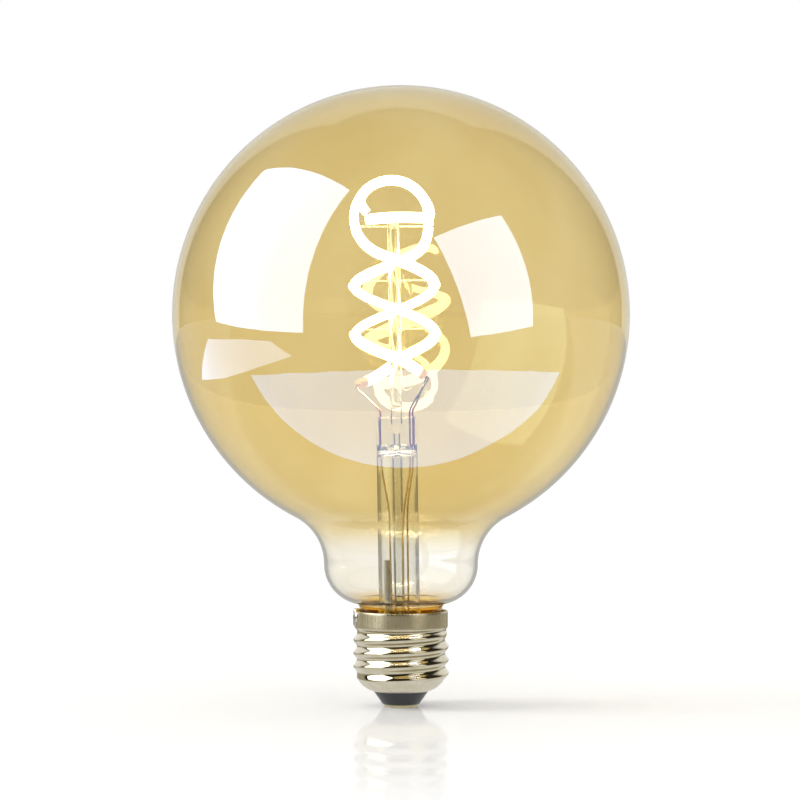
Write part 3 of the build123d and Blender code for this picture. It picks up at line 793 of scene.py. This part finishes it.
@dataclass
class ScrewCap:
    """The E27 cap: a pressed shell with a rolled thread, a glass insulator and a centre contact.

    A face is a list of radii with heights over the part's foot. A top has depths below its top instead.
    """

    pitch: float = 25.4 / 7
    crest: float = 13.05
    root: float = 12.05
    sheet: float = 0.3
    foot_radius: float = 7.6
    bowl_centre: tuple[float, float] = (6.16, 10.45)
    bowl_radius: float = 6.41
    bowl_sweep: tuple[float, float] = (-77.0, -25.0)
    bowl_runs: int = 12
    bowl_height: float = 3.5
    barrel_top: float = 20.7
    row: float = 0.15
    flare_height: float = 1.35
    flare_rows: int = 9
    skirt: float = 12.85
    skirt_rows: int = 8
    lip: Profile = ((0.0, 0.35), (0.03, 0.14), (0.12, 0.03), (0.24, 0.0))
    steps: int = 192
    thread_start_z: float = 7.9
    thread_start_angle: float = 240.0
    thread_turns: float = 10 / 3
    run_out: float = 0.14
    insulator_face: Profile = (
        (0.0, 0.0), (4.7, 0.0), (5.05, 0.06), (5.3, 0.3), (5.5, 0.7),
        (7.35, 3.3), (7.5, 3.55), (7.55, 3.9), (8.05, 4.3),
    )
    insulator_top: Profile = ((8.05, 0.2), (7.85, 0.0), (0.0, 0.0))
    contact_face: Profile = (
        (0.0, 0.0), (1.3, 0.0), (1.5, 0.14), (1.8, 0.14), (2.0, 0.0), (4.1, 0.0),
        (4.5, 0.07), (4.7, 0.22), (4.8, 0.45), (4.8, 0.6), (2.0, 0.6),
    )
    contact_top: Profile = ((2.0, 0.0), (0.0, 0.0))
    cement_bore: float = 11.35
    cement_in_barrel: float = 11.65
    cement_barrel_top: float = 20.6
    cement_flare: Profile = ((12.4, 22.2), (12.5, 22.5))
    cement_top: Profile = ((12.5, 0.0), (12.2, 0.25), (11.8, 0.3), (11.35, 0.05))
    solder_angle: float = 196.0
    solder_grain: float = 0.09
    solder_lumps: tuple[tuple[float, ...], ...] = (
        (12.80, 0.0, 24.7, 0.72, 1.75, 1.55),
        (12.88, -4.0, 23.3, 0.45, 0.95, 1.5),
        (12.55, -3.0, 26.2, 0.85, 1.0, 0.85),
        (11.85, -3.5, 26.6, 0.6, 0.5, 0.45),
    )

    def blank(self) -> Piece:
        """The drawn shell before its thread is rolled, as a sheet with no thickness."""
        low, high = extent("cap_shell")
        bowl = arc(self.bowl_centre, self.bowl_radius, *self.bowl_sweep, self.bowl_runs)
        bowl = [(self.foot_radius, low.z), *bowl[1:-1], (self.root, low.z + self.bowl_height)]
        rows = int((self.barrel_top - bowl[-1][1]) / self.row)
        barrel = [(self.root, bowl[-1][1] + self.row * (i + 1)) for i in range(rows)]
        base, rise = barrel[-1][1], self.skirt - self.root
        shares = [i / self.flare_rows for i in range(1, self.flare_rows + 1)]
        flare = [(self.root + rise * eased(share), base + self.flare_height * share) for share in shares]
        lip = [(self.skirt - inset, high.z - drop) for inset, drop in self.lip]
        foot, tall = flare[-1][1], lip[0][1] - flare[-1][1]
        skirt = [(self.skirt, foot + tall * i / self.skirt_rows) for i in range(1, self.skirt_rows)]
        return turned("cap", bowl + barrel + flare + skirt + lip, self.steps)

    def swell(self, x: float, y: float, z: float) -> float:
        """How far the rolled thread stands out of the shell at a place.

        Args:
            x: The place on the shell.
            y: The place on the shell.
            z: The place on the shell.

        Returns:
            The height of the thread there.
        """
        turn = (math.degrees(math.atan2(y, x)) - self.thread_start_angle) / 360.0
        along = (z - self.thread_start_z) / self.pitch
        whole = round(along - turn)
        done = turn + whole
        start = eased((done + self.run_out) / (2 * self.run_out))
        end = eased((self.thread_turns + self.run_out - done) / (2 * self.run_out))
        ridge = 0.5 + 0.5 * math.cos(math.tau * (along - turn - whole))
        return (self.crest - self.root) * start * end * ridge

    def roll_thread(self, shell: Piece) -> None:
        """Rolls the thread into the blank and gives the sheet its thickness."""
        for vertex in shell.data.vertices:
            x, y, z = vertex.co / MM
            grown = 1 + self.swell(x, y, z) / math.hypot(x, y)
            vertex.co.x *= grown
            vertex.co.y *= grown
        faces = shell.data.polygons
        if sum(face.normal.x * face.center.x + face.normal.y * face.center.y for face in faces) < 0:
            shell.data.flip_normals()
        apply_modifier(shell, "SOLIDIFY", thickness=self.sheet * MM, offset=-1.0)
        smooth(shell, 50.0)

    def solder_dab(self) -> Piece:
        """The dab that holds the side wire: melted lumps run together over the rim.

        Each lump has its distance from the axis, its angle past the dab's, its height and three half sizes.

        Returns:
            The dab.
        """
        lumps = []
        for radius, aside, z, thick, wide, tall in self.solder_lumps:
            turn = math.radians(self.solder_angle + aside)
            place = Vector((radius * math.cos(turn), radius * math.sin(turn), z)) * MM
            deselect_all()
            bpy.ops.mesh.primitive_uv_sphere_add(
                segments=32, ring_count=20, radius=MM, location=place, rotation=(0.0, 0.0, turn)
            )
            lump = bpy.context.object
            lump.scale = (thick, wide, tall)
            apply_place(lump)
            lumps.append(lump)
        for lump in lumps:
            lump.select_set(True)
        bpy.context.view_layer.objects.active = lumps[0]
        bpy.ops.object.join()
        dab = bpy.context.object
        dab.name = "solder_dab"
        apply_modifier(dab, "REMESH", mode="VOXEL", voxel_size=self.solder_grain * MM)
        apply_modifier(dab, "SMOOTH", factor=0.6, iterations=10)
        smooth(dab, 180.0)
        return dab

    def plug(self, node: str, name: str, face: Profile, top: Profile) -> Piece:
        """Turns a solid part of the cap.

        Args:
            node: The CAD node that it stands for.
            name: Its name.
            face: Its radii and heights over its foot.
            top: Its radii and depths below its top.

        Returns:
            The part.
        """
        low, high = extent(node)
        outline = [(radius, low.z + rise) for radius, rise in face]
        return turned(name, outline + [(radius, high.z - drop) for radius, drop in top])

    def cement(self) -> Piece:
        """The cement between the collar and the shell, whose wall follows the shell's flare."""
        low, high = extent("cap_cement")
        bore = [(self.cement_bore, low.z)]
        wall = [(self.cement_in_barrel, low.z), (self.cement_in_barrel, self.cement_barrel_top)]
        top = [(radius, high.z - drop) for radius, drop in self.cement_top]
        return turned("cement_ring", [*bore, *wall, *self.cement_flare, *top, *bore])

    def build(self) -> None:
        """Makes and dresses the shell, the insulator, the contact, the cement and the solder."""
        shell = self.blank()
        self.roll_thread(shell)
        finish_piece(shell, CAP_PLATE, Slot.NICKEL_PLATE, "cap_shell")
        insulator = self.plug("cap_insulator", "cap_glass", self.insulator_face, self.insulator_top)
        finish_piece(insulator, VITRITE, Slot.BLACK_GLASS, "cap_insulator")
        contact = self.plug("centre_contact", "contact_disc", self.contact_face, self.contact_top)
        finish_piece(contact, CONTACT_BRASS, Slot.BRASS, "centre_contact")
        finish_piece(self.cement(), CAP_CEMENT, Slot.CEMENT, "cap_cement")
        finish_piece(self.solder_dab(), SOLDER, Slot.SOLDER, "side_solder")
        dress_node("side_wire", TINNED_WIRE)
        dress_node("contact_pin", CONTACT_BRASS)


@dataclass
class Stem:
    """The glass mount in the neck: flared tube, press, exhaust tube and pillar."""

    shift: float = 0.3
    lean: float = 0.9
    seal_z: float = 19.5
    glass: tuple[tuple[str, str], ...] = (
        ("stem_tube", "stem_and_press"),
        ("exhaust_tube", "exhaust_tube_glass"),
        ("support_pillar", "pillar_glass"),
    )

    def place(self) -> Matrix:
        """Where the mount stands in the lamp: a little aside, and leaning about its seal."""
        seal = Vector((0.0, 0.0, self.seal_z))
        turn = Matrix.Rotation(math.radians(-self.lean), 4, "Y")
        return Matrix.Translation(seal - Vector((self.shift, 0.0, 0.0))) @ turn @ Matrix.Translation(-seal)

    def build(self) -> None:
        """Makes and dresses the glass of the mount."""
        for node, name in self.glass:
            finish_piece(refined(node, name, angle=30.0), STEM_GLASS, Slot.CLEAR_GLASS, node)
        dress_node("pillar_anchors", NICKEL_WIRE)


@dataclass
class Filament:
    """Two lit ribbons wound into a double spiral with loops over the top, and the wire that holds them."""

    stem: Stem
    spiral_radius: float = 11.3
    spiral_pitch: float = 26.6
    spiral_start_z: float = 95.2
    loop_radius: float = 10.7
    loop_shift: float = 0.5
    loop_z: float = 134.0
    thickness: float = 1.12
    flat: float = 0.3
    edge_sides: int = 5
    unlit_left: float = 3.9
    unlit_right: float = 2.6
    clip_edge: float = 0.07

    def spiral(self, turns: range, side: int) -> list[Point]:
        """Points up the spiral.

        Args:
            turns: Angles along it in degrees.
            side: One, or minus one for the ribbon that starts on the other side.

        Returns:
            The points, in the mount's own frame.
        """
        made = []
        for turn in turns:
            angle = math.radians(turn)
            across = side * self.spiral_radius
            height = self.spiral_start_z + self.spiral_pitch * turn / 360.0
            made.append((across * math.sin(angle), across * math.cos(angle), height))
        return made

    def loop(self, turns: tuple[int, ...], depth: float) -> list[Point]:
        """Points round the top loop.

        Args:
            turns: Angles round it in degrees.
            depth: How far behind the axis it stands.

        Returns:
            The points, in the mount's own frame.
        """
        rounds = [math.radians(turn) for turn in turns]
        reach, shift, middle = self.loop_radius, self.loop_shift, self.loop_z
        return [(reach * math.cos(t) - shift, depth, middle + reach * math.sin(t)) for t in rounds]

    def left_route(self) -> list[Point]:
        """The ribbon that starts at the left foot, climbs at the right and ends turned in at the left."""
        foot = [(-10.4, 4.2, 88.2), (-6.9, 8.7, 89.5), (-2.4, 11.0, 92.4)]
        rise = [(5.0, 10.1, 123.5), (8.6, 6.6, 126.3)]
        tail = [(-8.9, 2.5, 140.2), (-9.0, 1.9, 137.4), (-7.3, 1.5, 135.5)]
        coil, bend = self.spiral(range(15, 361, 30), 1), self.loop((-17, 18, 52, 86, 118), 3.0)
        return foot + coil + rise + bend + tail

    def right_route(self) -> list[Point]:
        """The ribbon that starts at the right foot and ends in the bar across the loop."""
        foot = [(7.7, -8.4, 90.4), (5.0, -10.1, 92.7)]
        rise = [(-4.4, -10.5, 123.4), (-8.0, -7.2, 126.0), (-10.7, -3.2, 130.6)]
        corner = [(10.3, -3.3, 133.4), (7.6, -7.2, 133.1)]
        bar = [(2.4, -9.3, 133.2), (-3.0, -9.2, 133.1), (-7.2, -7.4, 132.8)]
        over = self.loop((165, 128, 92, 56, 20), -0.5)
        return foot + self.spiral(range(-5, 361, 30), -1) + rise + over + corner + bar

    def build(self) -> None:
        """Draws the ribbons and dresses their clips and hooks."""
        place = self.stem.place()
        left = ("left", self.left_route(), self.unlit_left)
        right = ("right", self.right_route(), self.unlit_right)
        for side, route, unlit in (left, right):
            moved = [tuple(place @ Vector(point)) for point in route]
            ribbon = drawn(f"lit_ribbon_{side}", moved, self.thickness, self.flat, self.edge_sides)
            finish = Phosphor(f"phosphor_silicone_{side}", foot=moved[0], unlit=unlit)
            finish_piece(ribbon, finish, Slot.PHOSPHOR, f"ribbon_{side}")
            ribbon.visible_diffuse = False
            ribbon.active_material.cycles.emission_sampling = "NONE"
        for node in ("foot_tab_common", "foot_tab_warm", "foot_tab_cool"):
            clip = refined(node, node.replace("tab", "clip"), edge=self.clip_edge)
            finish_piece(clip, NICKEL_WIRE, Slot.NICKEL_WIRE, node)
        finish_piece(refined("top_joint", "ribbon_bridge"), NICKEL_WIRE, Slot.NICKEL_WIRE, "top_joint")
        for level in ("low", "mid", "top"):
            for side in ("left", "right"):
                dress_node(f"hook_wire_{level}_{side}", NICKEL_WIRE)


@dataclass
class Wiring:
    """The lead wires from the cap through the press to the ribbons, and the sheathed aerial."""

    sheath: float = 1.02
    sheath_foot: tuple[float, float] = (-3.3, 0.9)
    sheath_bends: tuple[Point, ...] = ((-3.7, 0.8, 22.0), (-3.7, 0.9, 31.0))
    sheath_tip: tuple[float, float] = (-3.9, 0.8)
    leads: tuple[str, ...] = ("common", "warm", "cool")

    def build(self) -> None:
        """Dresses the leads and draws the aerial's sheath."""
        for lead in self.leads:
            dress_node(f"inner_lead_{lead}", LEAD_WIRE)
            dress_node(f"dumet_seal_{lead}", DUMET)
            dress_node(f"outer_lead_{lead}", COPPER)
        low, high = extent("antenna_wire")
        route = [(*self.sheath_foot, low.z), *self.sheath_bends, (*self.sheath_tip, high.z)]
        aerial = drawn("aerial_sheath", route, self.sheath, sides=5)
        finish_piece(aerial, WHITE_SHEATH, Slot.WHITE_INSULATION, "antenna_wire")


@dataclass
class Driver:
    """The driver and radio that the cap hides, kept as packed."""

    finishes: dict[str, Finish] = field(
        default_factory=lambda: {
            "insulating_sleeve": WHITE_NYLON,
            "driver_board": CIRCUIT_BOARD,
            "bulk_capacitor": SHRINK_SLEEVE,
            "power_inductor": CHIP_EPOXY,
            "film_capacitor": FILM_BOX,
            "bridge_rectifier": CHIP_EPOXY,
            "fusible_resistor": RESISTOR_LACQUER,
            "centre_wire": TINNED_WIRE,
            "driver_chip": CHIP_EPOXY,
            "radio_board": CIRCUIT_BOARD,
            "radio_shield": TIN_PLATE,
        }
    )

    def build(self) -> None:
        """Dresses each hidden part."""
        for node, finish in self.finishes.items():
            dress_node(node, finish)


# ---------------------------------------------------------------- the studio


@dataclass(frozen=True)
class Sight:
    """The kinds of ray that a studio material tells apart."""

    tree: Tree

    def count(self, output: str, more: bool = True) -> Socket:
        """One if a ray has any of a kind of bounce, or has none of it, and nought otherwise."""
        bounces = add_node(self.tree, "LightPath").outputs[output]
        kind = "GREATER_THAN" if more else "LESS_THAN"
        return maths(self.tree, kind, bounces, 0.5)

    def both(self, one: Socket, other: Socket) -> Socket:
        """One where both are one."""
        return maths(self.tree, "MULTIPLY", one, other)

    def reflected(self) -> Socket:
        """One for what is seen in a reflection that doesn't come through glass."""
        outside = self.both(self.count("Is Transmission Ray", False), self.count("Diffuse Depth", False))
        return self.both(self.count("Glossy Depth"), outside)

    def mirrored(self) -> Socket:
        """One for what is seen in a sharp reflection, as on glass."""
        return self.both(self.reflected(), self.count("Is Singular Ray"))

    def from_above(self, lowest: float) -> Socket:
        """One where a ray reached a level light from higher over it than this, and nought elsewhere."""
        slant = add_node(self.tree, "LayerWeight", {"Blend": 0.5}).outputs["Facing"]
        upright = maths(self.tree, "SUBTRACT", 1.0, slant)
        height = self.both(add_node(self.tree, "LightPath").outputs["Ray Length"], upright)
        return maths(self.tree, "GREATER_THAN", height, lowest * MM)


@dataclass(frozen=True)
class LightPanel:
    """A flat soft light, given by its corners.

    Its light is set apart for a sharp reflection, for a reflection that comes back out through glass, and for
    a satin reflection. It isn't seen straight through glass or by matt surfaces, and one that is only for
    sharp reflections isn't seen through glass at all.
    """

    name: str
    corners: tuple[Point, ...]
    sharp: Light = (7.5, 10.0, 15.0, 1.0)
    through: Light = (2.4, 3.2, 5.2, 1.0)
    satin: Light = (1.5, 1.5, 1.5, 1.0)
    reflected_only: bool = False
    lowest: float = 0.0

    def build(self) -> None:
        """Makes the panel as one flat face."""
        mesh = bpy.data.meshes.new(self.name)
        points = [tuple(value * MM for value in corner) for corner in self.corners]
        mesh.from_pydata(points, [], [list(range(len(points)))])
        panel = bpy.data.objects.new(self.name, mesh)
        bpy.context.scene.collection.objects.link(panel)
        panel.visible_camera = False
        panel.visible_shadow = False
        panel.visible_diffuse = False
        panel.data.materials.append(self.light())

    def light(self) -> bpy.types.Material:
        """The panel's glowing material."""
        made = bpy.data.materials.new(self.name)
        made.cycles.emission_sampling = "NONE"
        tree = fresh_tree(made)
        sight = Sight(tree)
        crossing = sight.count("Is Transmission Ray")
        colour = blended(tree, sight.mirrored(), self.satin, self.sharp)
        colour = blended(tree, sight.both(crossing, sight.count("Glossy Depth")), colour, self.through)
        lit = add_node(tree, "Emission", {"Color": colour, "Strength": 1.0})
        straight = sight.both(sight.count("Glossy Depth", False), sight.count("Diffuse Depth", False))
        unseen = sight.both(straight, crossing)
        if self.reflected_only:
            reached = sight.both(sight.mirrored(), sight.from_above(self.lowest))
            unseen = maths(tree, "SUBTRACT", 1.0, reached)
        gone = add_node(tree, "BsdfTransparent")
        shown = add_node(tree, "MixShader", {0: unseen, 1: lit.outputs[0], 2: gone.outputs[0]})
        add_node(tree, "OutputMaterial", {"Surface": shown.outputs[0]})
        return made


def oblong(centre: Point, half_width: Point, half_height: Point) -> tuple[Point, ...]:
    """The four corners of an oblong, from its centre and its two half sides."""
    signs = ((-1, -1), (1, -1), (1, 1), (-1, 1))
    rows = tuple(zip(centre, half_width, half_height))
    return tuple(tuple(middle + a * wide + b * tall for middle, wide, tall in rows) for a, b in signs)


@dataclass
class Studio:
    """A white room: a pale glossy table, light panels, a dark side behind the camera, and the camera.

    A bearing is a share of a whole turn, where three quarters is straight behind the lamp. The four bearings
    of sides are where the white starts and is full, and where it ends again.
    """

    camera_place: Point = (-0.27, -700.0, 83.8)
    lens: float = 114.975
    sensor: float = 36.0
    table_half: float = 9000.0
    table_tone: str = "#e7e7e7"
    table_gloss: float = 0.22
    table_roughness: float = 0.03
    gloss_edge: float = 210.0
    front_edge: float = 40.0
    # What reflections see of the table is painted: pale near the lamp, painted shade far out and through
    # glass.
    near_lamp: str = "#ececec"
    far_table: str = "#b0aa98"
    through_glass: str = "#a8a8a8"
    backdrop: str = "#d8d6d0"
    ambient: float = 1.08
    key: float = 1.7
    key_turn: Point = (58.0, 0.0, -88.0)
    key_softness: float = 30.0
    dark: str = "#161616"
    dim: str = "#322e25"
    white: str = "#ffffff"
    satin_sides: tuple[float, ...] = (0.555, 0.61, 0.89, 0.945)
    sharp_sides: tuple[float, ...] = (0.648, 0.656, 0.838, 0.846)
    sharp_ceiling: tuple[float, float] = (0.86, 0.83)
    panels: tuple[LightPanel, ...] = (
        LightPanel(
            "light_panel_left",
            oblong((-472.0, -62.0, 338.0), (155.0, -270.0, -35.0), (115.0, 75.0, 289.0)),
            satin=(2.6, 2.6, 2.5, 1.0),
        ),
        LightPanel(
            "light_panel_right",
            oblong((314.0, -323.0, 220.0), (109.0, 102.0, 28.0), (-82.0, 22.0, 191.0)),
            through=(0.9, 0.95, 1.3, 1.0),
            satin=(1.1, 1.0, 0.8, 1.0),
        ),
        LightPanel(
            "lit_table_front",
            (
                (-260.0, -58.0, 1.0), (-194.0, -143.0, 1.0), (-125.0, -193.0, 1.0), (-59.0, -220.0, 1.0),
                (7.0, -228.0, 1.0), (80.0, -218.0, 1.0), (162.0, -180.0, 1.0), (235.0, -116.0, 1.0),
                (290.0, -35.0, 1.0), (150.0, -43.0, 1.0), (74.0, -54.0, 1.0), (0.0, -56.0, 1.0),
                (-120.0, -56.0, 1.0),
            ),
            sharp=(1.8, 3.9, 8.2, 1.0),
            reflected_only=True,
            lowest=60.0,
        ),
        LightPanel(
            "low_reflector",
            (
                (-280.0, 59.0, 74.0), (-288.0, -57.0, 62.0), (-262.0, -142.0, 50.0),
                (-228.0, -182.0, 15.0), (-273.0, 27.0, 10.0), (-240.0, 126.0, 33.0),
            ),
            sharp=(3.5, 4.6, 7.0, 1.0),
            reflected_only=True,
        ),
    )

    def sky(self) -> None:
        """White all round, but mostly dark for what is seen in a reflection, save for the backdrop."""
        world = bpy.data.worlds.new("white_room")
        bpy.context.scene.world = world
        world.cycles.sampling_method = "NONE"
        tree = fresh_tree(world)
        sight = Sight(tree)
        direction = add_node(tree, "TexCoord").outputs["Generated"]
        bearing = add_node(tree, "TexGradient", {0: direction}, gradient_type="RADIAL").outputs["Fac"]
        height = add_node(tree, "SeparateXYZ", {0: direction}).outputs["Z"]
        dim, dark, white, grey = self.dim, self.dark, self.white, self.backdrop
        satin = shades(tree, bearing, list(zip(self.satin_sides, (dim, white, white, dim))))
        sides = shades(tree, bearing, list(zip(self.sharp_sides, (dark, grey, grey, dark))))
        below_top = levels(tree, height, *self.sharp_ceiling, 0.0, 1.0)
        sharp = blended(tree, below_top, linear(dark), sides)
        colour = blended(tree, sight.reflected(), WHITE, satin)
        colour = blended(tree, sight.mirrored(), colour, sharp)
        ambient = (self.ambient, self.ambient, self.ambient, 1.0)
        colour = blended(tree, sight.count("Diffuse Depth"), colour, ambient)
        light = add_node(tree, "Background", {"Color": colour, "Strength": 1.0})
        add_node(tree, "OutputWorld", {"Surface": light.outputs[0]})

    def table(self) -> None:
        """A pale table with a gloss round the lamp; reflections and glass see painted tones of it instead."""
        deselect_all()
        bpy.ops.mesh.primitive_plane_add(size=2 * self.table_half * MM)
        table = bpy.context.object
        table.name = "table"
        made = bpy.data.materials.new("pale_acrylic_table")
        made.cycles.emission_sampling = "NONE"
        tree = fresh_tree(made)
        sight = Sight(tree)
        matt = add_node(tree, "BsdfDiffuse", {"Color": linear(self.table_tone)})
        mirror = add_node(tree, "BsdfGlossy", {"Color": WHITE, "Roughness": self.table_roughness})
        place = add_node(tree, "TexCoord").outputs["Object"]
        along = add_node(tree, "SeparateXYZ", {0: place}).outputs["Y"]
        away = add_node(tree, "VectorMath", {0: place}, operation="LENGTH").outputs["Value"]
        gloss = levels(tree, away, self.gloss_edge * MM, self.gloss_edge * MM / 2, 0.0, self.table_gloss)
        surface = add_node(tree, "MixShader", {0: gloss, 1: matt.outputs[0], 2: mirror.outputs[0]})
        behind = levels(tree, along, 0.0, self.front_edge * MM, 0.0, 1.0)
        near = levels(tree, away, 2 * self.front_edge * MM, self.front_edge * MM, 0.0, 1.0)
        bounced = sight.both(sight.count("Glossy Depth"), sight.count("Diffuse Depth", False))
        satin = shades(tree, near, [(0.0, self.far_table), (1.0, self.near_lamp)])
        tone = blended(tree, sight.reflected(), linear(self.through_glass), satin)
        sharp = shades(tree, behind, [(0.0, self.dark), (1.0, self.backdrop)])
        tone = blended(tree, sight.mirrored(), tone, sharp)
        # Painted tones for reflected rays in place of the lit table: pale near the lamp, painted shade
        # farther out and through glass, painted dark in front of the lamp and pale grey behind it in sharp
        # reflections.
        shade = add_node(tree, "Emission", {"Color": tone, "Strength": 1.0})
        seen = {0: bounced, 1: surface.outputs[0], 2: shade.outputs[0]}
        shown = add_node(tree, "MixShader", seen)
        add_node(tree, "OutputMaterial", {"Surface": shown.outputs[0]})
        table.data.materials.append(made)

    def key_light(self) -> None:
        """A broad light from the upper left, which gives the table its soft shade at the right."""
        deselect_all()
        turn = tuple(math.radians(value) for value in self.key_turn)
        bpy.ops.object.light_add(type="SUN", rotation=turn)
        sun = bpy.context.object
        sun.data.energy = self.key
        sun.data.angle = math.radians(self.key_softness)
        sun.visible_glossy = False
        sun.visible_transmission = False

    def camera(self) -> None:
        """A level camera at the lamp's front."""
        deselect_all()
        place = Vector(self.camera_place) * MM
        bpy.ops.object.camera_add(location=place, rotation=(math.pi / 2, 0.0, 0.0))
        made = bpy.context.object
        made.data.lens = self.lens
        made.data.sensor_width = self.sensor
        made.data.clip_start = 0.01
        made.data.clip_end = 100.0
        bpy.context.scene.camera = made

    def build(self) -> None:
        """Sets up the room, the panels and the camera."""
        bpy.context.scene.view_settings.view_transform = "Standard"
        self.sky()
        self.table()
        self.key_light()
        for panel in self.panels:
            panel.build()
        self.camera()


def main() -> None:
    """Builds the lamp and its studio."""
    logging.basicConfig(level=logging.INFO, format="%(message)s")
    stem = Stem()
    for assembly in (Envelope(), ScrewCap(), stem, Filament(stem), Wiring(), Driver(), Studio()):
        assembly.build()


if __name__ == "__main__":
    main()
